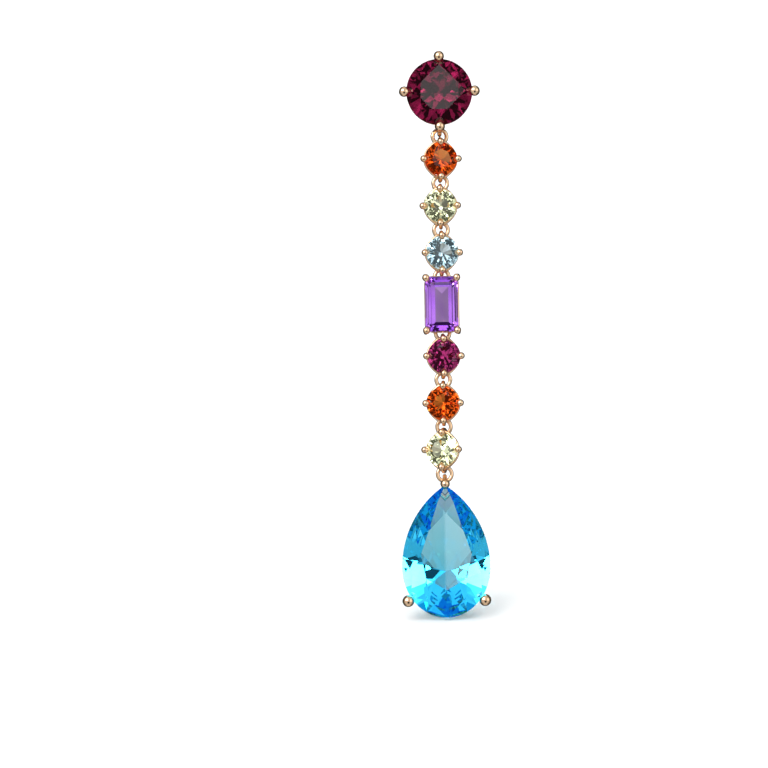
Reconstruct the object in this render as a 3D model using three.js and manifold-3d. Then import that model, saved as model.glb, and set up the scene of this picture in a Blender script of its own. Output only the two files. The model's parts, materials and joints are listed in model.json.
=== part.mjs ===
// Drop earring: nine cut stones in claw settings, each hung from the one above on a round jump ring.
//
// Lengths are in millimetres and angles in degrees. Each link is drawn face on: x to the right, y up,
// z towards the viewer, with the widest section of its stone, the girdle, in the plane z = 0.
// The chain is then stood up, so that in the part's own frame X is right, Y is back and Z is up.
// The origin is on the axis of the ear post, where the back of the top setting meets the ear.

import * as THREE from 'three';
import { LoftGeometry } from 'three/addons/geometries/LoftGeometry.js';
import { mergeVertices } from 'three/addons/utils/BufferGeometryUtils.js';
import Module from 'manifold-3d';

const wasm = await Module();
wasm.setup();

// Play between pieces that touch on the real jewel
const STONE_PLAY = 0.03;
const HOOK_PLAY = 0.06;

// Jump rings
const RING_WIRE = 0.38;
const RING_BORE = 0.9;
const RING_SIDES = 16;
const RING_RADIUS = (RING_BORE + RING_WIRE) / 2;

// Ear post, with a groove that the ear nut snaps into
const POST_DIAMETER = 0.85;
const POST_LENGTH = 10.5;
const POST_GROOVE_DEPTH = 0.1;
const POST_GROOVE_WIDTH = 0.5;
const POST_GROOVE_FROM_END = 1.8;
const POST_POINT_LENGTH = 0.35;
const BACK_PLATE_THICKNESS = 0.4;
const POST_SIDES = 16;

// Wire and facet counts
const CLAW_SIDES = 6;
const WIRE_SIDES = 5;
const HOOK_RAIL_SIDES = 16;
const BASE_RAIL_SIDES = 12;
const PEAR_RAIL_SIDES = 24;
const MAIN_FACETS = 8;

// How quickly a round setting's rail swings out to the claws above and below
const HOOK_RAIL_POWER = 8;

const MERGE_TOLERANCE = 1e-5;

// Brilliant cut stones. Heights are measured from the middle of the girdle. starDrop is how far the
// star facets reach down from the table, keelRise how far the lower facets end above the culet, and the
// turns set the mains between those places where they would start at the outline's lowest point.
const SMALL_ROUND = {
  diameter: 3,
  tableDiameter: 1.7,
  crownHeight: 0.48,
  starDrop: 0.14,
  pavilionDepth: 1.3,
  keelRise: 0.3,
  girdle: 0.09,
  culetDrop: 0,
  crownTurn: 0,
  pavilionTurn: 0,
  sides: 16,
};

const GARNET = {
  diameter: 6,
  tableDiameter: 3.7,
  crownHeight: 0.9,
  starDrop: 0.26,
  pavilionDepth: 2.55,
  keelRise: 0.6,
  girdle: 0.16,
  culetDrop: 0,
  crownTurn: 0.5,
  pavilionTurn: 0.5,
  sides: 32,
};

const PEAR = {
  halfWidth: 4,
  headDepth: 4.55,
  tipHeight: 7.45,
  tableWidth: 4.65,
  crownHeight: 1.2,
  starDrop: 0.4,
  pavilionDepth: 3.2,
  keelRise: 0.8,
  girdle: 0.24,
  culetDrop: 0.4,
  crownTurn: 0,
  pavilionTurn: 0.5,
  sides: 32,
};

// Step cut stone. Each tier is one row of facets: how far in from the outline it ends, and its height.
// The last tier below ends at the keel, the edge along the stone's back.
const KEEL_INSET = 1.5;
const KEEL_DEPTH = 1.38;
const OCTAGON = {
  width: 3,
  length: 5,
  corner: 0.45,
  girdle: 0.1,
  crown: [
    { inset: 0.15, height: 0.22 },
    { inset: 0.33, height: 0.38 },
    { inset: 0.52, height: 0.48 },
  ],
  pavilion: [
    { inset: 0.36, height: -0.5 },
    { inset: 0.9, height: -1.0 },
    { inset: KEEL_INSET, height: -KEEL_DEPTH },
  ],
};

// Settings. beadOut and beadHeight place the ball on each claw's tip, neckHeight the bend under it, and
// hookOut and ringDepth the wire of the jump ring that hangs in the claw, all from the girdle's edge.
const SMALL_SETTING = {
  claw: 0.34,
  bead: 0.64,
  beadOut: 0.08,
  beadHeight: 0.22,
  neckHeight: -0.06,
  hookOut: 0,
  ringDepth: 0.8,
  rail: 0.26,
  railDepth: 0.38,
  railOut: -0.06,
  railBulge: 0.24,
  base: 0.3,
  baseDiameter: 2.2,
  depth: 1.42,
};

const GARNET_SETTING = {
  claw: 0.4,
  bead: 0.95,
  beadOut: 0.2,
  beadHeight: 0.34,
  neckHeight: -0.1,
  hookOut: 0.25,
  ringDepth: 1.6,
  rail: 0.36,
  railDepth: 0.72,
  railOut: -0.22,
  railBulge: 0,
  base: 0.42,
  baseDiameter: 2.7,
  depth: 2.95,
};

const OCTAGON_SETTING = {
  claw: 0.4,
  bead: 0.68,
  beadAcross: 2.8,
  beadAlong: 4.8,
  beadHeight: 0.22,
  neckHeight: -0.08,
  bowOut: 0.22,
  hookOut: -0.58,
  ringDepth: 1.15,
  rail: 0.28,
  railDepth: 0.36,
  railInset: 0.05,
  base: 0.3,
  baseInset: 0.68,
  baseCorner: 0.35,
  depth: 1.65,
  bar: 0.3,
};

const PEAR_SETTING = {
  claw: 0.4,
  tipBead: 0.86,
  tipBeadOut: 0.1,
  bead: 1.08,
  beadOut: 0.38,
  beadAzimuth: -40.7,
  beadHeight: 0.42,
  neckHeight: 0.15,
  hookOut: 0.35,
  ringDepth: 0.42,
  bowOut: 0.08,
  rail: 0.36,
  railDepth: 0.95,
  railInset: 0.2,
  railTipInset: 0.36,
  strutOut: 0.35,
  base: 0.42,
  baseInset: 1.2,
  baseTipInset: 2.1,
  depth: 2.1,
};

// The ball on a claw's tip, as shares of its diameter from its middle up and across
const BALL_ROWS = [
  { rise: 0.48, girth: 0.42 },
  { rise: 0.25, girth: 0.92 },
  { rise: -0.15, girth: 1 },
];

// Where the straight back of a claw's bow or of a bar starts and ends, as shares of the depth of the
// jump ring that hangs in it
const BOW_START = 0.5;
const BOW_END = 1.3;

// Colours of the metal and of the stones, as seen
const METAL = { color: 0xe6b08f, roughness: 0.12, metalness: 1 };
const GEM_FINISH = { roughness: 0.02, metalness: 0 };

// The links under the top stone. yaw turns a link about the line that it hangs on, and pitch tips its
// face up about the same place.
const HANGING_LINKS = [
  { name: 'citrine_upper', color: 0xd9560b, yaw: 5, pitch: 0 },
  { name: 'peridot_upper', color: 0xc8e07a, yaw: -3, pitch: 0 },
  { name: 'sky_topaz', color: 0x9fdcf2, yaw: 4, pitch: 0 },
  { name: 'amethyst', color: 0x6d2fb0, yaw: -3, pitch: 0 },
  { name: 'rhodolite', color: 0xa01058, yaw: 4, pitch: 0 },
  { name: 'citrine_lower', color: 0xe07a10, yaw: -4, pitch: 0 },
  { name: 'peridot_lower', color: 0xc8e07a, yaw: -16, pitch: 4 },
  { name: 'pear_topaz', color: 0x1fa3e0, yaw: 0, pitch: 0 },
];
const GARNET_COLOR = 0x5c0f2c;

const radians = THREE.MathUtils.degToRad;

/** A closed mesh with its positions alone, and each shared corner written once. */
function mergedPositions(geometry) {
  const bare = new THREE.BufferGeometry().copy(geometry);
  bare.deleteAttribute('normal');
  bare.deleteAttribute('uv');
  return mergeVertices(bare, MERGE_TOLERANCE);
}

/** A closed mesh as a solid that can be joined and cut. */
function toSolid(geometry) {
  const merged = mergedPositions(geometry);
  return new wasm.Manifold(new wasm.Mesh({
    numProp: 3,
    vertProperties: new Float32Array(merged.attributes.position.array),
    triVerts: new Uint32Array(merged.index.array),
  }));
}

/** A solid back as a mesh geometry with flat facets. */
function toGeometry(solid) {
  const mesh = solid.getMesh();
  const geometry = new THREE.BufferGeometry();
  geometry.setAttribute('position', new THREE.BufferAttribute(mesh.vertProperties, 3));
  geometry.setIndex(new THREE.BufferAttribute(mesh.triVerts, 1));
  geometry.computeVertexNormals();
  return geometry;
}

/** Joins solids that are soldered or cast together. */
function fuse(solids) {
  return solids.reduce((whole, solid) => whole.add(solid));
}

/** A point of a flat outline at a height. */
function lift(point, z) {
  return new THREE.Vector3(point.x, point.y, z);
}

/** The outline of a round stone, from its lowest point and back to it. */
function roundOutline(radius) {
  return new THREE.EllipseCurve(0, 0, radius, radius, -Math.PI / 2, 1.5 * Math.PI);
}

/** The outline of a pear: half an ellipse for the head and an arc up each side to the tip. */
function pearOutline(halfWidth, headDepth, tipHeight) {
  const flank = (tipHeight ** 2 + halfWidth ** 2) / (2 * halfWidth);
  const centre = flank - halfWidth;
  const rise = Math.asin(tipHeight / flank);
  const outline = new THREE.CurvePath();
  outline.add(new THREE.EllipseCurve(0, 0, halfWidth, headDepth, -Math.PI / 2, 0));
  outline.add(new THREE.EllipseCurve(-centre, 0, flank, flank, 0, rise));
  outline.add(new THREE.EllipseCurve(centre, 0, flank, flank, Math.PI - rise, Math.PI));
  outline.add(new THREE.EllipseCurve(0, 0, halfWidth, headDepth, Math.PI, 1.5 * Math.PI));
  return outline;
}

/** A rectangle with its corners cut off, from its lower right and round by the top. */
function octagonPoints({ width, length, corner }) {
  const x = width / 2;
  const y = length / 2;
  const quarter = [[x, -y + corner], [x, y - corner], [x - corner, y], [-x + corner, y]];
  const half = quarter.map(([px, py]) => new THREE.Vector2(px, py));
  return half.concat(half.map((point) => point.clone().negate()));
}

/** A cut cornered rectangle moved in on every side. */
function shrink({ width, length }, inset, corner) {
  return { width: width - 2 * inset, length: length - 2 * inset, corner };
}

/** A point of a closed outline, by the share of its length, which may run past one turn. */
function outlineAt(outline, share) {
  return outline.getPoint(THREE.MathUtils.euclideanModulo(share, 1));
}

/** The direction of an outline at a share of its length. */
function outlineDirection(outline, share) {
  const step = 0.002;
  return outlineAt(outline, share + step).sub(outlineAt(outline, share - step)).normalize();
}

/** A facet's plane through three points, with the middle of the girdle behind it. */
function facetPlane(a, b, c) {
  const plane = new THREE.Plane().setFromCoplanarPoints(a, b, c);
  return plane.constant > 0 ? plane.negate() : plane;
}

/** Where two facets meet at a height. */
function meetAt(first, second, z) {
  const across = first.normal.x * second.normal.y - first.normal.y * second.normal.x;
  const a = -first.constant - first.normal.z * z;
  const b = -second.constant - second.normal.z * z;
  return new THREE.Vector3(
    (a * second.normal.y - b * first.normal.y) / across,
    (b * first.normal.x - a * second.normal.x) / across,
    z,
  );
}

/** Grinds every facet into a prism of the girdle's outline. play makes the stone larger all round. */
function grind(points, top, bottom, facets, play) {
  const centre = new THREE.Vector2();
  const grown = points.map((point) => {
    const length = point.distanceTo(centre);
    return point.clone().multiplyScalar((length + play) / length);
  });
  const prism = new THREE.ExtrudeGeometry(new THREE.Shape(grown), {
    depth: top - bottom + 2 * play,
    bevelEnabled: false,
  });
  prism.translate(0, 0, bottom - play);
  return facets.reduce((stone, { normal, constant }) => (
    stone.trimByPlane([-normal.x, -normal.y, -normal.z], constant - play)
  ), toSolid(prism));
}

/** One side of a brilliant: eight mains from the girdle to an inner point, and a pair of facets
 * between each two mains. Adds a star facet over each pair where the inner points differ. */
function brilliantSide(outline, edge, innerPoint, meetHeight, turn, stars) {
  const facets = [];
  const mains = [];
  for (let index = 0; index <= MAIN_FACETS; index += 1) {
    const share = (index + turn) / MAIN_FACETS;
    const foot = lift(outlineAt(outline, share), edge);
    const along = lift(outlineDirection(outline, share), 0);
    mains.push(facetPlane(foot, foot.clone().add(along), innerPoint(share)));
  }
  for (let index = 0; index < MAIN_FACETS; index += 1) {
    const share = (index + turn) / MAIN_FACETS;
    const next = share + 1 / MAIN_FACETS;
    const meet = meetAt(mains[index], mains[index + 1], meetHeight);
    const foot = lift(outlineAt(outline, share), edge);
    const middle = lift(outlineAt(outline, (share + next) / 2), edge);
    const nextFoot = lift(outlineAt(outline, next), edge);
    facets.push(mains[index], facetPlane(meet, foot, middle), facetPlane(meet, middle, nextFoot));
    if (stars) {
      facets.push(facetPlane(meet, innerPoint(share), innerPoint(next)));
    }
  }
  return facets;
}

/** A brilliant cut stone with a table, eight stars, mains above and below, and paired halves. */
function brilliant(outline, tableScale, tableCentre, cut, play) {
  const tablePoint = (share) => {
    const point = outlineAt(outline, share).sub(tableCentre).multiplyScalar(tableScale);
    return lift(point.add(tableCentre), cut.crownHeight);
  };
  const culet = new THREE.Vector3(0, -cut.culetDrop, -cut.pavilionDepth);
  const crownMeet = cut.crownHeight - cut.starDrop;
  const pavilionMeet = cut.keelRise - cut.pavilionDepth;
  const half = cut.girdle / 2;
  const facets = [
    ...brilliantSide(outline, half, tablePoint, crownMeet, cut.crownTurn, true),
    ...brilliantSide(outline, -half, () => culet, pavilionMeet, cut.pavilionTurn, false),
  ];
  const points = [];
  for (let index = 0; index < cut.sides; index += 1) {
    points.push(outlineAt(outline, index / cut.sides));
  }
  return grind(points, cut.crownHeight, -cut.pavilionDepth, facets, play);
}

/** A round brilliant. */
function roundStone(cut, play = 0) {
  const scale = cut.tableDiameter / cut.diameter;
  return brilliant(roundOutline(cut.diameter / 2), scale, new THREE.Vector2(), cut, play);
}

/** The pear brilliant, with its widest place at y = 0 and its tip up. */
function pearStone(cut, play = 0) {
  const outline = pearOutline(cut.halfWidth, cut.headDepth, cut.tipHeight);
  const middle = new THREE.Vector2(0, (cut.tipHeight - cut.headDepth) / 2);
  return brilliant(outline, cut.tableWidth / (2 * cut.halfWidth), middle, cut, play);
}

/** The step cut octagon: on every side, one row of facets for each tier above and below. */
function octagonStone(cut, play = 0) {
  const outline = octagonPoints(cut);
  const half = cut.girdle / 2;
  const rows = [
    [{ inset: 0, height: half }, ...cut.crown],
    [{ inset: 0, height: -half }, ...cut.pavilion],
  ];
  const facets = [];
  outline.forEach((start, index) => {
    const along = outline[(index + 1) % outline.length].clone().sub(start).normalize();
    const inward = new THREE.Vector2(-along.y, along.x);
    rows.forEach((tiers) => {
      for (let tier = 1; tier < tiers.length; tier += 1) {
        const from = tiers[tier - 1];
        const to = tiers[tier];
        const near = lift(start.clone().addScaledVector(inward, from.inset), from.height);
        const far = lift(start.clone().addScaledVector(inward, to.inset), to.height);
        facets.push(facetPlane(near, near.clone().add(lift(along, 0)), far));
      }
    });
  });
  return grind(outline, cut.crown.at(-1).height, cut.pavilion.at(-1).height, facets, play);
}

/** A ring of points round a centre, in the plane of two directions. */
function wireSection(centre, out, up, radius, sides) {
  const section = [];
  for (let side = 0; side < sides; side += 1) {
    const angle = (2 * Math.PI * (side + 0.5)) / sides;
    section.push(centre.clone()
      .addScaledVector(out, radius * Math.cos(angle))
      .addScaledVector(up, radius * Math.sin(angle)));
  }
  return section;
}

/** A closed loop of wire through flat points at a depth behind the girdle. */
function rail(points, wire, depth) {
  const back = new THREE.Vector3(0, 0, -1);
  const sections = points.map((point, index) => {
    const before = points[(index + points.length - 1) % points.length];
    const after = points[(index + 1) % points.length];
    const out = new THREE.Vector3(after.y - before.y, before.x - after.x, 0).normalize();
    return wireSection(lift(point, -depth), out, back, wire / 2, WIRE_SIDES);
  });
  sections.push(sections[0]);
  return toSolid(new LoftGeometry(sections));
}

/** Evenly spread points of an outline. */
function spread(outline, count) {
  const points = [];
  for (let index = 0; index < count; index += 1) {
    points.push(outlineAt(outline, index / count));
  }
  return points;
}

/** A rail close under a round stone, drawn out to the claws that hold the jump rings. */
function hookRail(radius, bulge, wire, depth) {
  const points = [];
  for (let index = 0; index < HOOK_RAIL_SIDES; index += 1) {
    const angle = (2 * Math.PI * index) / HOOK_RAIL_SIDES;
    const reach = radius + bulge * Math.sin(angle) ** HOOK_RAIL_POWER;
    points.push(new THREE.Vector2(reach * Math.cos(angle), reach * Math.sin(angle)));
  }
  return rail(points, wire, depth);
}

/** A bent wire in the upright plane of an azimuth, through rows of reach, height and thickness. */
function bentWire(azimuth, rows) {
  const outward = new THREE.Vector3(Math.cos(radians(azimuth)), Math.sin(radians(azimuth)), 0);
  const sideways = new THREE.Vector3(-outward.y, outward.x, 0);
  const points = rows.map(([reach, height]) => outward.clone().multiplyScalar(reach).setZ(height));
  const sections = rows.map(([, , thickness], index) => {
    const before = points[Math.max(index - 1, 0)];
    const after = points[Math.min(index + 1, points.length - 1)];
    const across = after.clone().sub(before).cross(sideways).normalize();
    return wireSection(points[index], sideways, across, thickness / 2, CLAW_SIDES);
  });
  return toSolid(new LoftGeometry(sections, { capStart: true, capEnd: true }));
}

/** How far out the middle of a claw runs where a jump ring's wire lies inside it. */
function bowReach(girdle, setting) {
  return girdle + setting.hookOut + RING_WIRE / 2 + HOOK_PLAY + setting.claw / 2;
}

/** The upper end of a claw: a ball over the edge of the stone, and the bend under it. */
function clawTip(girdle, bow, beadOut, ball, { claw: wire, beadHeight, neckHeight }) {
  const tip = girdle + beadOut;
  const neck = Math.max(girdle + STONE_PLAY + wire / 2, (tip + bow) / 2);
  return [
    ...BALL_ROWS.map(({ rise, girth }) => [tip, beadHeight + rise * ball, girth * ball]),
    [neck, neckHeight, wire],
  ];
}

/** A claw with a bow behind the girdle, in which a jump ring hangs or which clears a deep rail. */
function claw(azimuth, girdle, bow, foot, beadOut, ball, setting) {
  const { claw: wire, ringDepth, depth } = setting;
  const bowEnd = BOW_END * ringDepth;
  return bentWire(azimuth, [
    ...clawTip(girdle, bow, beadOut, ball, setting),
    [bow, -BOW_START * ringDepth, wire],
    [bow, -bowEnd, wire],
    [(2 * bow + foot) / 3, (-bowEnd - 2 * depth) / 3, wire],
    [foot, -depth, wire],
  ]);
}

/** A claw that runs straight down from the girdle to the base. */
function straightClaw(azimuth, girdle, foot, setting) {
  return bentWire(azimuth, [
    ...clawTip(girdle, girdle, setting.beadOut, setting.bead, setting),
    [foot, -setting.depth, setting.claw],
  ]);
}

/** A short wire from the upper rail out to a claw's bow. */
function strut(azimuth, from, to, setting) {
  return bentWire(azimuth, [
    [from, -setting.railDepth, setting.rail],
    [to, -setting.railDepth, setting.rail],
  ]);
}

/** A round stone's setting: claws with a bow above and below for the jump rings, straight ones at the
 * sides, a rail under the girdle and a round one at the base. */
function roundSetting(cut, setting) {
  const girdle = cut.diameter / 2;
  const foot = setting.baseDiameter / 2;
  const bow = bowReach(girdle, setting);
  const railReach = girdle + setting.railOut;
  return fuse([
    hookRail(railReach, setting.railBulge, setting.rail, setting.railDepth),
    rail(spread(roundOutline(foot), BASE_RAIL_SIDES), setting.base, setting.depth),
    ...[90, -90].map((at) => (
      claw(at, girdle, bow, foot, setting.beadOut, setting.bead, setting)
    )),
    ...[90, -90].map((at) => strut(at, railReach, bow, setting)),
    ...[0, 180].map((at) => straightClaw(at, girdle, foot, setting)),
  ]);
}

/** The ear post and the plate that closes the back of the top setting. */
function earPost(setting) {
  const plate = setting.baseDiameter / 2;
  const post = POST_DIAMETER / 2;
  const groove = post - POST_GROOVE_DEPTH;
  const end = -POST_LENGTH;
  const grooveEnd = end + POST_GROOVE_FROM_END;
  const profile = [
    [0, BACK_PLATE_THICKNESS],
    [plate, BACK_PLATE_THICKNESS],
    [plate, 0],
    [post, 0],
    [post, grooveEnd + POST_GROOVE_WIDTH],
    [groove, grooveEnd + POST_GROOVE_WIDTH - POST_GROOVE_DEPTH],
    [groove, grooveEnd + POST_GROOVE_DEPTH],
    [post, grooveEnd],
    [post, end + POST_POINT_LENGTH],
    [post / 2, end],
    [0, end],
  ].reverse();
  const half = profile.map(([r, y]) => new THREE.Vector2(r, y));
  const turned = new THREE.LatheGeometry(half, POST_SIDES);
  turned.rotateX(Math.PI / 2);
  turned.translate(0, 0, -topDepth(setting));
  return toSolid(turned);
}

/** From the top stone's girdle back to the flat that lies on the ear. */
function topDepth(setting) {
  return setting.depth + setting.base / 2;
}

/** The octagon's setting: a claw at each cut corner, two rails and a bar at each end for the rings. */
function octagonSetting(cut, setting) {
  const corner = new THREE.Vector2(setting.beadAcross / 2, setting.beadAlong / 2);
  const azimuth = THREE.MathUtils.radToDeg(corner.angle());
  const railOutline = shrink(cut, setting.railInset, cut.corner);
  const baseOutline = shrink(cut, setting.baseInset, setting.baseCorner);
  const basePoints = octagonPoints(baseOutline);
  const foot = basePoints[1].clone().add(basePoints[2]).length() / 2;
  const reach = corner.length();
  const pieces = [
    rail(octagonPoints(railOutline), setting.rail, setting.railDepth),
    rail(basePoints, setting.base, setting.depth),
  ];
  [azimuth, 180 - azimuth, 180 + azimuth, -azimuth].forEach((at) => {
    pieces.push(claw(at, reach, reach + setting.bowOut - setting.claw / 2, foot, 0, setting.bead,
      setting));
  });
  const barReach = cut.length / 2 + setting.hookOut + RING_WIRE / 2 + HOOK_PLAY + setting.bar / 2;
  [90, -90].forEach((at) => {
    pieces.push(bentWire(at, [
      [railOutline.length / 2, -setting.railDepth, setting.bar],
      [barReach, (-setting.railDepth - setting.ringDepth) / 2, setting.bar],
      [barReach, -BOW_END * setting.ringDepth, setting.bar],
      [baseOutline.length / 2, -setting.depth, setting.bar],
    ]));
  });
  return fuse(pieces);
}

/** The pear's setting: a claw at the tip, one at each side of the head, and two pear shaped rails. */
function pearSetting(cut, setting) {
  const inner = (inset, tipInset) => (
    pearOutline(cut.halfWidth - inset, cut.headDepth - inset, cut.tipHeight - tipInset)
  );
  const upper = inner(setting.railInset, setting.railTipInset);
  const lower = inner(setting.baseInset, setting.baseTipInset);
  const side = radians(setting.beadAzimuth);
  const sideReach = 1 / Math.hypot(Math.cos(side) / cut.halfWidth, Math.sin(side) / cut.headDepth);
  const sideFoot = 1 / Math.hypot(
    Math.cos(side) / (cut.halfWidth - setting.baseInset),
    Math.sin(side) / (cut.headDepth - setting.baseInset),
  );
  const tipFoot = cut.tipHeight - setting.baseTipInset;
  const tipBow = bowReach(cut.tipHeight, setting);
  const sideBow = sideReach + setting.bowOut;
  return fuse([
    rail(spread(upper, PEAR_RAIL_SIDES), setting.rail, setting.railDepth),
    rail(spread(lower, PEAR_RAIL_SIDES), setting.base, setting.depth),
    claw(90, cut.tipHeight, tipBow, tipFoot, setting.tipBeadOut, setting.tipBead, setting),
    strut(90, cut.tipHeight - setting.railTipInset, cut.tipHeight + setting.strutOut, setting),
    ...[setting.beadAzimuth, 180 - setting.beadAzimuth].map((at) => (
      claw(at, sideReach, sideBow, sideFoot, setting.beadOut, setting.bead, setting)
    )),
  ]);
}

/** A named mesh of one material. */
function piece(name, geometry, finish) {
  const mesh = new THREE.Mesh(geometry, new THREE.MeshStandardMaterial(finish));
  mesh.name = name;
  return mesh;
}

/** A stone in its setting, with the metal cut back by the play wherever the stone lies. */
function link(name, color, stone, clearanceStone, metal) {
  const group = new THREE.Group();
  group.add(piece(`${name}_stone`, toGeometry(stone), { ...GEM_FINISH, color }));
  group.add(piece(`${name}_setting`, toGeometry(metal.subtract(clearanceStone)), METAL));
  return group;
}

/** The link of a name, with the places where the rings above and below hang in it. */
function hangingLink({ name, color }) {
  if (name === 'amethyst') {
    const reach = OCTAGON.length / 2 + OCTAGON_SETTING.hookOut;
    return {
      group: link(name, color, octagonStone(OCTAGON), octagonStone(OCTAGON, STONE_PLAY),
        octagonSetting(OCTAGON, OCTAGON_SETTING)),
      reach,
      depth: OCTAGON_SETTING.ringDepth,
    };
  }
  if (name === 'pear_topaz') {
    return {
      group: link(name, color, pearStone(PEAR), pearStone(PEAR, STONE_PLAY),
        pearSetting(PEAR, PEAR_SETTING)),
      reach: PEAR.tipHeight + PEAR_SETTING.hookOut,
      depth: PEAR_SETTING.ringDepth,
    };
  }
  return {
    group: link(name, color, roundStone(SMALL_ROUND), roundStone(SMALL_ROUND, STONE_PLAY),
      roundSetting(SMALL_ROUND, SMALL_SETTING)),
    reach: SMALL_ROUND.diameter / 2 + SMALL_SETTING.hookOut,
    depth: SMALL_SETTING.ringDepth,
  };
}

/** One round jump ring, flat in the plane of the chain. */
function jumpRing(index) {
  const ring = new THREE.TorusGeometry(RING_RADIUS, RING_WIRE / 2, WIRE_SIDES, RING_SIDES);
  return piece(`jump_ring_${index}`, mergedPositions(ring), METAL);
}

const group = new THREE.Group();
group.rotation.x = Math.PI / 2;

const top = link('garnet', GARNET_COLOR, roundStone(GARNET), roundStone(GARNET, STONE_PLAY),
  roundSetting(GARNET, GARNET_SETTING).add(earPost(GARNET_SETTING)));
top.position.z = topDepth(GARNET_SETTING);
group.add(top);

// Hangs each link from the one above: the ring's wire lies in the upper link's lower hook and in the
// lower link's upper hook, straight below each other. A ring faces the way of the link under it.
const hook = new THREE.Vector3(
  0,
  -(GARNET.diameter / 2 + GARNET_SETTING.hookOut),
  topDepth(GARNET_SETTING) - GARNET_SETTING.ringDepth,
);
HANGING_LINKS.forEach((row, index) => {
  const ring = jumpRing(index + 1);
  ring.position.copy(hook).add(new THREE.Vector3(0, -RING_RADIUS, 0));
  ring.rotation.y = radians(row.yaw);
  group.add(ring);

  const { group: hung, reach, depth } = hangingLink(row);
  const slide = reach * Math.tan(radians(row.pitch));
  const upper = new THREE.Vector3(0, reach, -depth + slide);
  hung.rotation.set(-radians(row.pitch), radians(row.yaw), 0, 'YXZ');
  const turned = upper.clone().applyEuler(hung.rotation);
  hung.position.copy(hook).add(new THREE.Vector3(0, -2 * RING_RADIUS, 0)).sub(turned);
  group.add(hung);

  const lower = new THREE.Vector3(0, -reach, -depth - slide).applyEuler(hung.rotation);
  hook.copy(hung.position).add(lower);
});

export default group;
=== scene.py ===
"""Drop earring: nine cut stones in polished rose gold claws, hung on each other by jump rings.

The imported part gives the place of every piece. This script builds each stone with all its facets,
each setting from round wire with balls, and each jump ring with its soldered seam. It dresses them
and sets up the floor, the light tents and the camera.

Every link is drawn face on in millimetres, as at a maker's bench: x to the right, y up, z towards the
viewer, with the widest section of its stone, the girdle, at z = 0. It is then turned and set at the
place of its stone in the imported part.
"""

import json
import logging
import math
from bisect import bisect_right
from dataclasses import dataclass, field
from enum import Enum
from typing import Callable, Sequence

import bmesh
import bpy
from mathutils import Euler, Matrix, Vector


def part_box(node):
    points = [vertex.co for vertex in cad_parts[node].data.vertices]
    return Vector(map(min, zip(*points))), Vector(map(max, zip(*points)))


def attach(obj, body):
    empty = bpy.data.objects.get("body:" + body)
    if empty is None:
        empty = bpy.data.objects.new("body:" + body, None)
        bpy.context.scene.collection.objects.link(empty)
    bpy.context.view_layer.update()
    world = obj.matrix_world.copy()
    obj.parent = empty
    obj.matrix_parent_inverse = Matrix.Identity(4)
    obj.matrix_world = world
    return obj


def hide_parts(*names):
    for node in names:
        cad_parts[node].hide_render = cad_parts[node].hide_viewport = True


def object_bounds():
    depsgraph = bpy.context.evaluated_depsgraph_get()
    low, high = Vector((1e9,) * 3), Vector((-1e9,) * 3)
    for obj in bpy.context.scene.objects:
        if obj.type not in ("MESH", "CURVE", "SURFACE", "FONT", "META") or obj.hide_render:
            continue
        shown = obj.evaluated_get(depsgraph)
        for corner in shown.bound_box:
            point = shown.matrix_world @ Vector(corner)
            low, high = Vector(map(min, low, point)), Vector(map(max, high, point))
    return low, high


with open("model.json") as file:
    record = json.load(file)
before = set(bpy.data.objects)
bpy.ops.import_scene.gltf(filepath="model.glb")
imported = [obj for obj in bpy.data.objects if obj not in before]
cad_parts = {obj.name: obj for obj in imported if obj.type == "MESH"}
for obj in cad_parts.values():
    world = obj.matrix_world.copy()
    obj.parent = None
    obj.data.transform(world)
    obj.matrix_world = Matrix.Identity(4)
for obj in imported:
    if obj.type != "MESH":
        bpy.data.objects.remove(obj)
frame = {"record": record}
BOX_AT_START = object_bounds()

MM = 0.001
LOG = logging.getLogger("earring")

BODY_OF_NODE = {
    node: body
    for body, nodes in frame["record"]["behaviour"]["bodies"].items()
    for node in nodes
}

Row = tuple[float, float, float]
Rgb = tuple[float, float, float]


# Outlines and facets

OUTLINE_STEPS = 1440
SHARE_STEP = 0.002


class Outline:
    """A closed flat outline that is walked by the share of its length, from its lowest point."""

    def __init__(self, points: Sequence[Vector]) -> None:
        """Measures the outline.

        Args:
            points: Close points all the way round, with the first one repeated at the end.
        """
        self.points = list(points)
        self.walked = [0.0]
        for before, after in zip(self.points, self.points[1:]):
            self.walked.append(self.walked[-1] + (after - before).length)

    def at(self, share: float) -> Vector:
        """A point of the outline.

        Args:
            share: Share of the length, which may run past one turn.

        Returns:
            The flat point.
        """
        goal = (share % 1.0) * self.walked[-1]
        after = min(bisect_right(self.walked, goal), len(self.walked) - 1)
        start, end = self.walked[after - 1 : after + 1]
        return self.points[after - 1].lerp(self.points[after], (goal - start) / (end - start))

    def direction(self, share: float) -> Vector:
        """The direction in which the outline runs at a share of its length."""
        return (self.at(share + SHARE_STEP) - self.at(share - SHARE_STEP)).normalized()

    def spread(self, count: int) -> list[Vector]:
        """Evenly spread points, the lowest one first."""
        return [self.at(index / count) for index in range(count)]


def round_outline(radius: float) -> Outline:
    """A circle, from its lowest point.

    Args:
        radius: Its radius.

    Returns:
        The outline.
    """
    points = []
    for index in range(OUTLINE_STEPS + 1):
        angle = 2 * math.pi * index / OUTLINE_STEPS - math.pi / 2
        points.append(Vector((radius * math.cos(angle), radius * math.sin(angle))))
    return Outline(points)


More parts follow.
